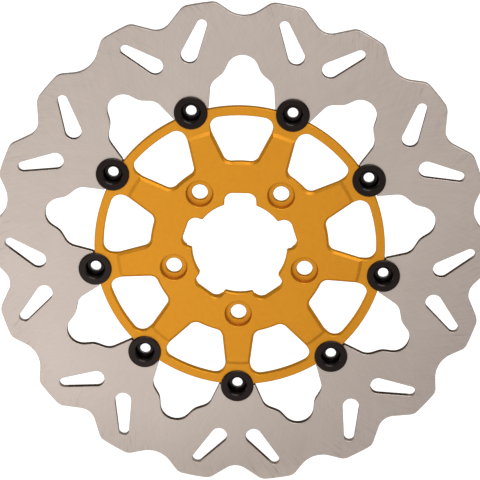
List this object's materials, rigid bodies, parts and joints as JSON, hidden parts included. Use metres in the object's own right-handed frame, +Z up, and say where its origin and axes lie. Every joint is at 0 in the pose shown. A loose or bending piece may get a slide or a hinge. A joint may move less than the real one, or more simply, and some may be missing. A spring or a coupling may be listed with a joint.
{
  "type": "motorcycle brake disc rotor",
  "caption": "Floating motorcycle brake rotor: a slotted wave-edged steel ring driven by flanged bobbins on a gold spoked carrier that bolts to the wheel hub.",
  "frame": {"origin": "centre of the face that bolts to the wheel hub, on the spin axis", "axes": "+Z up with the rotor standing upright, +Y out of the hub face towards the wheel, -Y outboard, +X to the right seen from outboard"},
  "size_m": [0.3, 0.0097, 0.2977],
  "materials": {
    "disc_steel": "ground stainless steel, fine grinding marks",
    "anodised_gold": "satin gold anodised aluminium, fine blasted grain",
    "bobbin_black": "satin black hard-anodised aluminium, turned",
    "spring_steel": "bright stainless spring steel",
    "washer_steel": "stainless steel, stamped and tumbled",
    "ring_black": "phosphated black spring steel"
  },
  "bodies": {
    "carrier": {"carrier": "anodised_gold"},
    "disc": {"brake_disc": "disc_steel"},
    "bobbin_1": {"drive_bobbin_1": "bobbin_black", "wave_washer_1": "spring_steel", "flat_washer_1": "washer_steel", "retaining_ring_1": "ring_black"},
    "bobbin_2": {"drive_bobbin_2": "bobbin_black", "wave_washer_2": "spring_steel", "flat_washer_2": "washer_steel", "retaining_ring_2": "ring_black"},
    "bobbin_3": {"drive_bobbin_3": "bobbin_black", "wave_washer_3": "spring_steel", "flat_washer_3": "washer_steel", "retaining_ring_3": "ring_black"},
    "bobbin_4": {"drive_bobbin_4": "bobbin_black", "wave_washer_4": "spring_steel", "flat_washer_4": "washer_steel", "retaining_ring_4": "ring_black"},
    "bobbin_5": {"drive_bobbin_5": "bobbin_black", "wave_washer_5": "spring_steel", "flat_washer_5": "washer_steel", "retaining_ring_5": "ring_black"},
    "bobbin_6": {"drive_bobbin_6": "bobbin_black", "wave_washer_6": "spring_steel", "flat_washer_6": "washer_steel", "retaining_ring_6": "ring_black"},
    "bobbin_7": {"drive_bobbin_7": "bobbin_black", "wave_washer_7": "spring_steel", "flat_washer_7": "washer_steel", "retaining_ring_7": "ring_black"},
    "bobbin_8": {"drive_bobbin_8": "bobbin_black", "wave_washer_8": "spring_steel", "flat_washer_8": "washer_steel", "retaining_ring_8": "ring_black"},
    "bobbin_9": {"drive_bobbin_9": "bobbin_black", "wave_washer_9": "spring_steel", "flat_washer_9": "washer_steel", "retaining_ring_9": "ring_black"}
  },
  "joints": [
    {"name": "disc_float", "type": "slide", "parent": "carrier", "child": "disc", "axis": [0, -1, 0], "range_m": [-0.00015, 0.00015]},
    {"name": "bobbin_1_spin", "type": "hinge", "parent": "carrier", "child": "bobbin_1", "pos_m": [0, 0, -0.0879], "axis": [0, 1, 0], "continuous": true},
    {"name": "bobbin_2_spin", "type": "hinge", "parent": "carrier", "child": "bobbin_2", "pos_m": [0.0565, 0, -0.06734], "axis": [0, 1, 0], "continuous": true},
    {"name": "bobbin_3_spin", "type": "hinge", "parent": "carrier", "child": "bobbin_3", "pos_m": [0.08657, 0, -0.01526], "axis": [0, 1, 0], "continuous": true},
    {"name": "bobbin_4_spin", "type": "hinge", "parent": "carrier", "child": "bobbin_4", "pos_m": [0.07612, 0, 0.04395], "axis": [0, 1, 0], "continuous": true},
    {"name": "bobbin_5_spin", "type": "hinge", "parent": "carrier", "child": "bobbin_5", "pos_m": [0.03006, 0, 0.0826], "axis": [0, 1, 0], "continuous": true},
    {"name": "bobbin_6_spin", "type": "hinge", "parent": "carrier", "child": "bobbin_6", "pos_m": [-0.03006, 0, 0.0826], "axis": [0, 1, 0], "continuous": true},
    {"name": "bobbin_7_spin", "type": "hinge", "parent": "carrier", "child": "bobbin_7", "pos_m": [-0.07612, 0, 0.04395], "axis": [0, 1, 0], "continuous": true},
    {"name": "bobbin_8_spin", "type": "hinge", "parent": "carrier", "child": "bobbin_8", "pos_m": [-0.08657, 0, -0.01526], "axis": [0, 1, 0], "continuous": true},
    {"name": "bobbin_9_spin", "type": "hinge", "parent": "carrier", "child": "bobbin_9", "pos_m": [-0.0565, 0, -0.06734], "axis": [0, 1, 0], "continuous": true}
  ]
}
